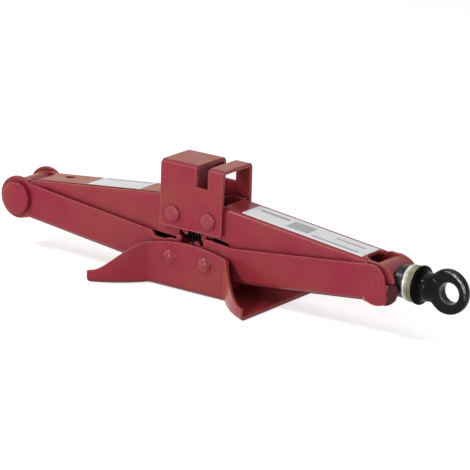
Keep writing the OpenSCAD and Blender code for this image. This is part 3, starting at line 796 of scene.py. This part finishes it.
def sticker_film(name, bars):
    finish, tree, shader = new_finish(name)
    spot = add_node(tree, "ShaderNodeUVMap", uv_map="UVMap")
    place_on_film = split_axes(tree, spot.outputs["UV"])

    def inside(axis, low, high):
        above = math_node(tree, "GREATER_THAN", place_on_film[axis], low)
        below = math_node(tree, "LESS_THAN", place_on_film[axis], high)
        return math_node(tree, "MULTIPLY", above, below)

    printed = None
    for low_u, high_u, low_v, high_v in bars:
        block = math_node(
            tree, "MULTIPLY", inside("X", low_u, high_u), inside("Y", low_v, high_v)
        )
        printed = block if printed is None else math_node(tree, "MAXIMUM", printed, block)
    paper = use_group(tree, grain, Cells_per_Metre=140.0, Detail=3.0, Low=0.0, High=1.0)
    film = mix_colors(tree, paper, PAPER_GREY, PAPER_WHITE)
    color = mix_colors(tree, printed, film, PRINT_GREY)
    tree.links.new(color, shader.inputs["Base Color"])
    gloss = use_group(tree, grain, Cells_per_Metre=300.0, Detail=3.0, Low=0.26, High=0.40)
    tree.links.new(gloss, shader.inputs["Roughness"])
    ripples = use_group(tree, grain, Cells_per_Metre=260.0, Detail=2.0, Low=0.0, High=1.0)
    bump(tree, shader, ripples, 0.08, 0.05 * MM)
    return finish


print("sticker film ready")

# %% [markdown]
# ## Sheet parts
#
# The foot, the saddle and the arms are pressed from 3 mm sheet. The mechanical model has knife
# edges, but pressed and painted sheet never does. A copy of each part is merged, its flat faces
# are dissolved into whole ones, and a bevel rounds the cut edges. The bevel catches light as a
# thin bright line, which is most of what makes painted sheet look like painted sheet. Weighted
# normals keep the big faces flat beside it.
#
# Where a bend has many short edges, a bevel has no room. So points that crowd are merged first,
# edges that are too short aren't bevelled, and any point that the bevel still throws off is laid
# back on a copy that was kept from before it.

# %% Copy a part and merge it
SAME_POINT = 0.002 * MM
FLAT_ENOUGH = math.radians(0.4)


def copy_of(node, name):
    source = frame["nodes"][node]
    made = bpy.data.objects.new(name, source.data.copy())
    made.data.name = name
    bpy.context.scene.collection.objects.link(made)
    return made


def merge_copy(piece):
    pick(piece)
    if piece.data.has_custom_normals:
        bpy.ops.mesh.customdata_custom_splitnormals_clear()
    start_editing(piece)
    bpy.ops.mesh.select_all(action="SELECT")
    bpy.ops.mesh.remove_doubles(threshold=SAME_POINT)
    bpy.ops.mesh.dissolve_limited(angle_limit=FLAT_ENOUGH)
    stop_editing()


print("copying tools ready")

# %% Round the cut edges of a sheet
EDGE_WIDTH = 0.5 * MM
EDGE_STEPS = 3
SHARP = math.radians(32.0)
LONG_ENOUGH = EDGE_WIDTH * 1.05
STRAY = EDGE_WIDTH * 1.3
CROWDED = 0.35 * MM


def thin_out_tight_bends(piece, shortest):
    start_editing(piece, "VERT")
    mesh = bmesh.from_edit_mesh(piece.data)
    crowded = set()
    for edge in mesh.edges:
        if edge.calc_length() < shortest:
            crowded.update(point.index for point in edge.verts)
    mesh.verts.ensure_lookup_table()
    for point in mesh.verts:
        point.select = point.index in crowded
    mesh.select_flush_mode()
    bmesh.update_edit_mesh(piece.data)
    bpy.ops.mesh.remove_doubles(threshold=shortest)
    stop_editing()
    print(piece.name, "had", len(crowded), "crowded points")


def mark_sharp_edges(piece):
    shape = bmesh.new()
    shape.from_mesh(piece.data)
    weight = shape.edges.layers.float.new("bevel_weight_edge")
    marked = 0
    for edge in shape.edges:
        if len(edge.link_faces) != 2 or edge.calc_length() < LONG_ENOUGH:
            continue
        if edge.calc_face_angle() > SHARP:
            edge[weight] = 1.0
            marked += 1
    shape.to_mesh(piece.data)
    shape.free()
    print(piece.name, "has", marked, "edges to round")


def lay_strays_back(piece, sheet, farthest):
    skin = BVHTree.FromObject(sheet, bpy.context.evaluated_depsgraph_get())
    remember_points(piece, "strays", lambda p: skin.find_nearest(p)[3] > farthest)
    back = piece.modifiers.new("strays back on the sheet", "SHRINKWRAP")
    back.target = sheet
    back.wrap_method = "NEAREST_SURFACEPOINT"
    back.vertex_group = "strays"
    apply_modifiers(piece)
    piece.vertex_groups.clear()


def round_edges(piece):
    pick(piece)
    bpy.ops.object.duplicate()
    sheet = bpy.context.object
    thin_out_tight_bends(piece, CROWDED)
    mark_sharp_edges(piece)
    edge = piece.modifiers.new("rounded edges", "BEVEL")
    edge.width = EDGE_WIDTH
    edge.segments = EDGE_STEPS
    edge.limit_method = "WEIGHT"
    edge.use_clamp_overlap = False
    apply_modifiers(piece)
    lay_strays_back(piece, sheet, STRAY)
    bpy.data.objects.remove(sheet)
    keep_flat = piece.modifiers.new("flat faces stay flat", "WEIGHTED_NORMAL")
    keep_flat.mode = "FACE_AREA"
    keep_flat.weight = 80
    keep_flat.keep_sharp = True
    pick(piece)
    bpy.ops.object.shade_smooth_by_angle(angle=math.radians(50.0))
    apply_modifiers(piece)


print("edge tools ready")

# %% [markdown]
# The lower right arm ends square, with a round lip in each flange under the trunnion. In the
# mechanical model the lip is low. Here a thinner round plate carries it up beside the trunnion.
# The plate is a cylinder cut with two planes, and a Boolean union joins it to the flange.

# %% Round the lips at the square end
LIP_R = 11.98 * MM
LIP_THICK = 1.6 * MM
LIP_Y = 18.4 * MM
LIP_PAST_TRUNNION = 6.7 * MM
LIP_UNDER_TRUNNION = 5.0 * MM
LIP_TOP = 1.0 * MM
LIP_START = 7.0 * MM


def round_the_lips(piece):
    along = (right_trunnion - foot_right).normalized()
    above = Vector((-along.z, 0, along.x))
    for side in (-1, 1):
        center = right_trunnion + along * LIP_PAST_TRUNNION - above * LIP_UNDER_TRUNNION
        center.y = side * LIP_Y
        bpy.ops.object.select_all(action="DESELECT")
        bpy.ops.mesh.primitive_cylinder_add(
            vertices=96,
            radius=LIP_R,
            depth=LIP_THICK,
            location=center,
            rotation=(math.radians(90.0), 0, 0),
        )
        lip = bpy.context.object
        apply_place(lip)
        for point, facing in (
            (right_trunnion - above * LIP_TOP, above),
            (right_trunnion + along * LIP_START, -along),
        ):
            start_editing(lip, "VERT")
            bpy.ops.mesh.select_all(action="SELECT")
            bpy.ops.mesh.bisect(
                plane_co=point,
                plane_no=facing,
                use_fill=True,
                clear_outer=True,
                threshold=SAME_POINT,
            )
            stop_editing()
        weld = piece.modifiers.new("lip", "BOOLEAN")
        weld.operation = "UNION"
        weld.solver = "EXACT"
        weld.object = lip
        apply_modifiers(piece)
        bpy.data.objects.remove(lip)


print("lip tool ready")

# %% Paint the sheet parts
SHEET_FINISHES = {
    "foot": enamel,
    "lower_left_arm": enamel,
    "lower_right_arm": lip_enamel,
    "upper_left_arm": enamel,
    "upper_right_arm": enamel_with_painted_shade,
    "saddle": enamel,
}


def paint_sheet(node, body):
    piece = copy_of(node, node + "_painted")
    merge_copy(piece)
    if node == "lower_right_arm":
        round_the_lips(piece)
        merge_copy(piece)
    round_edges(piece)
    piece.data.materials.clear()
    piece.data.materials.append(SHEET_FINISHES[node])
    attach(piece, body)
    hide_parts(node)
    print(piece.name, triangles(piece), "triangles")
    return piece


sheets = {node: paint_sheet(node, node) for node in SHEET_FINISHES}

# %% [markdown]
# ## The foot's rivets, the trunnions and the rings
#
# These are turned or headed parts, and the mechanical model already has their true curves. They
# only need a finish, so it is assigned to the parts as they are.

# %% Finish the turned parts
TURNED_FINISHES = {
    "foot_rivet_left": rivet_enamel,
    "foot_rivet_right": rivet_enamel,
    "nut_trunnion": enamel,
    "plain_trunnion": enamel_with_painted_shade,
    "screw_stop": steel_screw,
    "screw_retainer": steel_screw,
    "thrust_washer": steel_turned,
    "thrust_ring": zinc,
}

for node, finish in TURNED_FINISHES.items():
    part = frame["nodes"][node]
    part.data.materials.clear()
    part.data.materials.append(finish)
print("finishes set on", len(TURNED_FINISHES), "turned parts")

# %% [markdown]
# ## The lifting screw
#
# The screw has a trapezoidal thread of 14 mm by 3 mm. One pitch of its outline is drawn by
# extruding a single point, and the Screw modifier winds that outline round the axis, one pitch per
# turn, so each turn meets the next. Bisecting with a fill then cuts the ends square, as a parting
# tool would. A plain turned shank carries on through the right trunnion.

# %% Draw an outline by extruding one point
def draw_line(name, points):
    bpy.ops.object.select_all(action="DESELECT")
    bpy.ops.mesh.primitive_plane_add(size=MM, location=points[0])
    line = bpy.context.object
    line.name = name
    line.data.name = name
    apply_place(line)
    start_editing(line, "VERT")
    bpy.ops.mesh.select_all(action="SELECT")
    bpy.ops.mesh.merge(type="CENTER")
    for here, there in zip(points, points[1:]):
        step = Vector(there) - Vector(here)
        bpy.ops.mesh.extrude_region_move(TRANSFORM_OT_translate={"value": step})
    stop_editing()
    return line


THREAD_PITCH = 3.0 * MM
THREAD_DEPTH = 1.7 * MM
CREST_SHARE = 0.34
FLANK_SHARE = 0.16
TURN_STEPS = 32
THREAD_STOPS_BEFORE_RETAINER = 6.0 * MM

screw_low, screw_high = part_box("lift_screw")
retainer_low, retainer_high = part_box("screw_retainer")
thread_end = retainer_low.x - THREAD_STOPS_BEFORE_RETAINER
crest_r = SCREW_R - 0.02 * MM
root_r = crest_r - THREAD_DEPTH
turns = math.ceil((thread_end - screw_low.x) / THREAD_PITCH) + 2
first_x = screw_low.x - THREAD_PITCH
one_pitch = [
    (0.0, root_r),
    (0.5 - CREST_SHARE / 2 - FLANK_SHARE, root_r),
    (0.5 - CREST_SHARE / 2, crest_r),
    (0.5 + CREST_SHARE / 2, crest_r),
    (0.5 + CREST_SHARE / 2 + FLANK_SHARE, root_r),
    (1.0, root_r),
]
outline = [(first_x + THREAD_PITCH * share, 0, screw_z + r) for share, r in one_pitch]
screw = draw_line("lift_screw_threaded", outline)
bpy.context.scene.cursor.location = (0, 0, screw_z)
pick(screw)
bpy.ops.object.origin_set(type="ORIGIN_CURSOR")
winding = screw.modifiers.new("thread", "SCREW")
winding.axis = "X"
winding.angle = math.radians(360.0)
winding.screw_offset = THREAD_PITCH
winding.iterations = turns
winding.steps = TURN_STEPS
winding.render_steps = TURN_STEPS
winding.use_merge_vertices = True
winding.merge_threshold = SAME_POINT
apply_modifiers(screw)
apply_place(screw)
print("thread:", turns, "turns,", triangles(screw), "triangles")

# %% Cut the thread's ends square
def cut_off(piece, x, keep_left):
    start_editing(piece, "VERT")
    bpy.ops.mesh.select_all(action="SELECT")
    bpy.ops.mesh.bisect(
        plane_co=(x, 0, screw_z),
        plane_no=(1, 0, 0),
        use_fill=True,
        clear_outer=keep_left,
        clear_inner=not keep_left,
        threshold=SAME_POINT,
    )
    stop_editing()


cut_off(screw, screw_low.x + 0.05 * MM, keep_left=False)
cut_off(screw, thread_end, keep_left=True)
start_editing(screw)
bpy.ops.mesh.select_all(action="SELECT")
bpy.ops.mesh.normals_make_consistent(inside=False)
stop_editing()
bpy.ops.object.shade_smooth_by_angle(angle=math.radians(30.0))
thread_length = round((thread_end - screw_low.x) / MM, 1)
print("thread cut to", thread_length, "mm,", triangles(screw), "triangles")

# %% Spin an outline round an axis
def spin_line(line, center, axis, steps):
    start_editing(line, "VERT")
    bpy.ops.mesh.select_all(action="SELECT")
    bpy.ops.mesh.spin(
        steps=steps,
        angle=math.radians(360.0),
        center=center,
        axis=axis,
        use_auto_merge=False,
    )
    bpy.ops.mesh.select_all(action="SELECT")
    bpy.ops.mesh.remove_doubles(threshold=SAME_POINT)
    bpy.ops.mesh.normals_make_consistent(inside=False)
    stop_editing()
    pick(line)
    bpy.ops.object.shade_smooth_by_angle(angle=math.radians(35.0))
    return line


def spin_about_screw(name, outline, steps=96):
    line = draw_line(name, [(x, 0, screw_z + r) for x, r in outline])
    return spin_line(line, (0, 0, screw_z), (1, 0, 0), steps)


def spin_about_pin(name, center, outline, steps=96):
    line = draw_line(name, [(center.x + r, y, center.z) for y, r in outline])
    return spin_line(line, center, (0, 1, 0), steps)


print("spinning tools ready")

# %% [markdown]
# A shank turned on the same axis carries the thread on through the right trunnion.

# %% Spin the plain shank and join it on
shank_start = thread_end - 2.0 * MM
shank_end = screw_high.x - 0.3 * MM
shank = spin_about_screw(
    "lift_screw_shank",
    [
        (shank_start, 0),
        (shank_start, root_r - 0.8 * MM),
        (thread_end, root_r - 0.1 * MM),
        (thread_end + THREAD_DEPTH, crest_r),
        (shank_end, crest_r),
        (shank_end, 0),
    ],
    steps=64,
)
pick(screw)
shank.select_set(True)
bpy.ops.object.join()
screw.data.materials.clear()
screw.data.materials.append(steel_screw)
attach(screw, "screw")
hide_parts("lift_screw")
print(screw.name, triangles(screw), "triangles")

# %% [markdown]
# ## The ribbed bush, the domed discs and the saddle's rivets
#
# The bush beside the trunnion has soft ribs, which smear its highlight into bands. Each rib is
# one wave of its outline. The discs on the left trunnion are slightly domed, like coin blanks
# that went through a press, so they catch the light differently from the flat arm behind them.
# The saddle's rivets have flat heads whose edges were rolled over by the riveting tool. Each kind
# is spun from a short table of depths in millimetres, with a share of the disc's radius or with a
# radius in millimetres.

# %% Spin the bush with soft ribs
RIBS = 3
RIB_DEPTH = 0.55 * MM
WAVE_STEPS = 8
BUSH_EDGE = 0.5 * MM

bush_r = (bush_high.z - bush_low.z) / 2
rib_start = bush_low.x + BUSH_EDGE
rib_run = bush_high.x - bush_low.x - 2 * BUSH_EDGE
bore_r = SCREW_R + 0.1 * MM
bush_outline = [(bush_low.x, bore_r), (bush_low.x, bush_r - RIB_DEPTH - BUSH_EDGE)]
for step in range(RIBS * WAVE_STEPS + 1):
    share_along = step / (RIBS * WAVE_STEPS)
    dip = (1 + math.cos(math.radians(360.0) * RIBS * share_along)) / 2
    bush_outline.append((rib_start + rib_run * share_along, bush_r - RIB_DEPTH * dip))
bush_outline += [
    (bush_high.x, bush_r - RIB_DEPTH - BUSH_EDGE),
    (bush_high.x, bore_r),
    (bush_low.x, bore_r),
]
bush = spin_about_screw("thrust_bush_ribbed", bush_outline)
bush.data.materials.append(zinc)
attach(bush, "screw")
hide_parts("thrust_bush")
print(bush.name, triangles(bush), "triangles")

# %% Spin the domed discs
DOME = [
    (0.0, 0.0), (0.04, 0.30), (0.18, 0.60), (0.36, 0.80), (0.62, 0.90),
    (1.00, 0.96), (1.55, 0.99), (2.20, 1.0),
]


def domed_disc(node, outward):
    disc_low, disc_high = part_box(node)
    outer = disc_low.y if outward < 0 else disc_high.y
    inner = disc_high.y if outward < 0 else disc_low.y
    disc_r = (disc_high.z - disc_low.z) / 2
    outline = [(outer - outward * depth * MM, disc_r * wide) for depth, wide in DOME]
    outline += [(inner + outward * 0.5 * MM, disc_r), (inner, disc_r * 0.96), (inner, 0)]
    middle = (disc_low + disc_high) / 2
    piece = spin_about_pin(node + "_domed", middle, outline)
    piece.data.materials.append(enamel)
    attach(piece, "nut")
    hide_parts(node)
    print(piece.name, triangles(piece), "triangles")


domed_disc("nut_disc_front", -1)
domed_disc("nut_disc_rear", 1)

# %% Spin the saddle's rivets
FLAT_HEAD = [
    (0.0, 0.0), (0.03, 2.6), (0.12, 4.2), (0.34, 5.35), (0.75, 6.2), (1.25, 6.72),
    (1.8, 6.96), (2.15, 7.0), (2.36, 6.9), (2.4, 6.7), (2.4, 5.0),
]


def flat_rivet(node):
    rivet_low, rivet_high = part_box(node)
    outline = [(rivet_low.y + depth * MM, r * MM) for depth, r in FLAT_HEAD]
    outline += [(rivet_high.y - depth * MM, r * MM) for depth, r in reversed(FLAT_HEAD)]
    middle = (rivet_low + rivet_high) / 2
    piece = spin_about_pin(node + "_headed", middle, outline)
    piece.data.materials.append(rivet_enamel)
    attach(piece, "saddle")
    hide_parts(node)
    print(piece.name, triangles(piece), "triangles")


flat_rivet("saddle_rivet_left")
flat_rivet("saddle_rivet_right")

# %% [markdown]
# ## The forged eye
#
# The eye, its neck and its collar are one forging. Dies leave no sharp corners: the neck swells
# into the eye, and the eye's rim and the mouth of its hole are round. The mechanical model has
# the same bodies with plain meeting lines, so its copy is cut off inside the collar and remeshed
# into small even cells. The Smooth modifier is let loose on it, strongly round the neck and
# lightly on the eye. The collar is turned after forging, so it is spun from its own crisp
# outline, a table of millimetres along the screw and from its axis, and joined on.

# %% Remesh the eye and let its neck flow
EYE_CELL = 0.42 * MM
CUT_IN_COLLAR = 2.4 * MM
FIRM_ROOT = 1.0 * MM
FIRM_EYE = 2.5 * MM
NECK_PASSES = 90
CORNER_PASSES = 16


def soften(piece, name, group, passes):
    softer = piece.modifiers.new(name, "SMOOTH")
    softer.factor = 0.5
    softer.iterations = passes
    softer.vertex_group = group


eye_back = eye_low.x + CUT_IN_COLLAR
neck_start = eye_back + FIRM_ROOT
neck_end = hole_x - hole_r - FIRM_EYE

forged = copy_of("drive_eye", "drive_eye_forged")
merge_copy(forged)
cut_off(forged, eye_back, keep_left=False)
cells = forged.modifiers.new("even cells", "REMESH")
cells.mode = "VOXEL"
cells.voxel_size = EYE_CELL
apply_modifiers(forged)
remember_points(forged, "neck", lambda p: neck_start < p.x < neck_end)
remember_points(forged, "all but the root", lambda p: p.x > neck_start)
soften(forged, "neck flows", "neck", NECK_PASSES)
soften(forged, "no sharp corners", "all but the root", CORNER_PASSES)
apply_modifiers(forged)
forged.vertex_groups.clear()
bpy.ops.object.shade_smooth()
print(forged.name, triangles(forged), "triangles")

# %% Spin the collar and join it on
COLLAR = [
    (0.0, 8.0), (0.0, 14.9), (0.25, 15.3), (0.7, 15.5), (1.9, 15.5), (2.4, 15.3),
    (2.7, 14.8), (2.9, 13.9), (3.3, 13.0), (4.0, 12.3), (5.0, 11.8), (6.4, 11.5),
    (7.4, 11.3), (7.4, 8.0), (0.0, 8.0),
]

collar = spin_about_screw(
    "drive_eye_collar", [(eye_low.x + x * MM, r * MM) for x, r in COLLAR]
)
forged.data.materials.clear()
forged.data.materials.append(oxide)
collar.data.materials.append(turned_oxide)
pick(forged)
collar.select_set(True)
bpy.ops.object.join()
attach(forged, "screw")
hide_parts("drive_eye")
print(forged.name, triangles(forged), "triangles")

# %% [markdown]
# ## Stickers
#
# A sticker is a thin sheet with a little thickness. It starts as a grid over the arm's web, is
# turned to the arm's slope, and Shrinkwrap lays it on the painted arm, so its front edge follows
# the bend. Solidify gives it the thickness of vinyl film.

# %% Lay a sticker on an upper arm
STICKER_LIFT = 0.4 * MM
STICKER_GAP = 0.06 * MM
STICKER_THICK = 0.12 * MM


def lay_sticker(name, arm, pivot, trunnion, from_x, to_x, from_y, to_y, finish):
    along = (trunnion - pivot).normalized()
    across = Vector((0, 1, 0)) if along.x > 0 else Vector((0, -1, 0))
    above = along.cross(across)
    slope = abs(along.x)
    near = (abs(from_x) - abs(pivot.x)) / slope
    far = (abs(to_x) - abs(pivot.x)) / slope
    length = far - near
    width = to_y - from_y
    bpy.ops.object.select_all(action="DESELECT")
    bpy.ops.mesh.primitive_grid_add(x_subdivisions=48, y_subdivisions=16, size=1)
    piece = bpy.context.object
    piece.name = name
    piece.data.name = name
    middle = pivot + along * (near + length / 2) + above * (WEB_TOP + STICKER_LIFT)
    middle.y = (from_y + to_y) / 2
    turn = Matrix((along, across, above)).transposed().to_4x4()
    stretch = Matrix.Diagonal((length, width, 1, 1))
    piece.matrix_world = Matrix.Translation(middle) @ turn @ stretch
    apply_place(piece)
    wrap = piece.modifiers.new("lie on the web", "SHRINKWRAP")
    wrap.target = sheets[arm]
    wrap.wrap_method = "NEAREST_SURFACEPOINT"
    wrap.wrap_mode = "ABOVE_SURFACE"
    wrap.offset = STICKER_GAP
    film = piece.modifiers.new("film", "SOLIDIFY")
    film.thickness = STICKER_THICK
    film.offset = 1.0
    apply_modifiers(piece)
    bpy.ops.object.shade_smooth_by_angle(angle=math.radians(40.0))
    piece.data.materials.append(finish)
    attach(piece, arm)
    size = [round(side / MM, 1) for side in (length, width)]
    print(name, size, "mm,", triangles(piece), "triangles")


left_film = sticker_film("sticker_film_left", [(0.08, 0.92, 0.10, 0.22)])
right_film = sticker_film(
    "sticker_film_right",
    [
        (0.06, 0.30, 0.62, 0.80),
        (0.34, 0.52, 0.20, 0.80),
        (0.56, 0.94, 0.14, 0.26),
        (0.70, 0.94, 0.60, 0.70),
    ],
)
lay_sticker(
    "left_sticker", "upper_left_arm", saddle_left, left_trunnion,
    -56.0 * MM, -110.0 * MM, -11.5 * MM, 13.5 * MM, left_film,
)
lay_sticker(
    "right_sticker", "upper_right_arm", saddle_right, right_trunnion,
    44.0 * MM, 158.5 * MM, -14.2 * MM, 10.4 * MM, right_film,
)

# %% How far the dressed parts reach past the mechanical model's box
low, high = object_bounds()
growth = max(max(cad_low - low), max(high - cad_high))
print("largest growth:", round(growth / MM, 3), "mm")
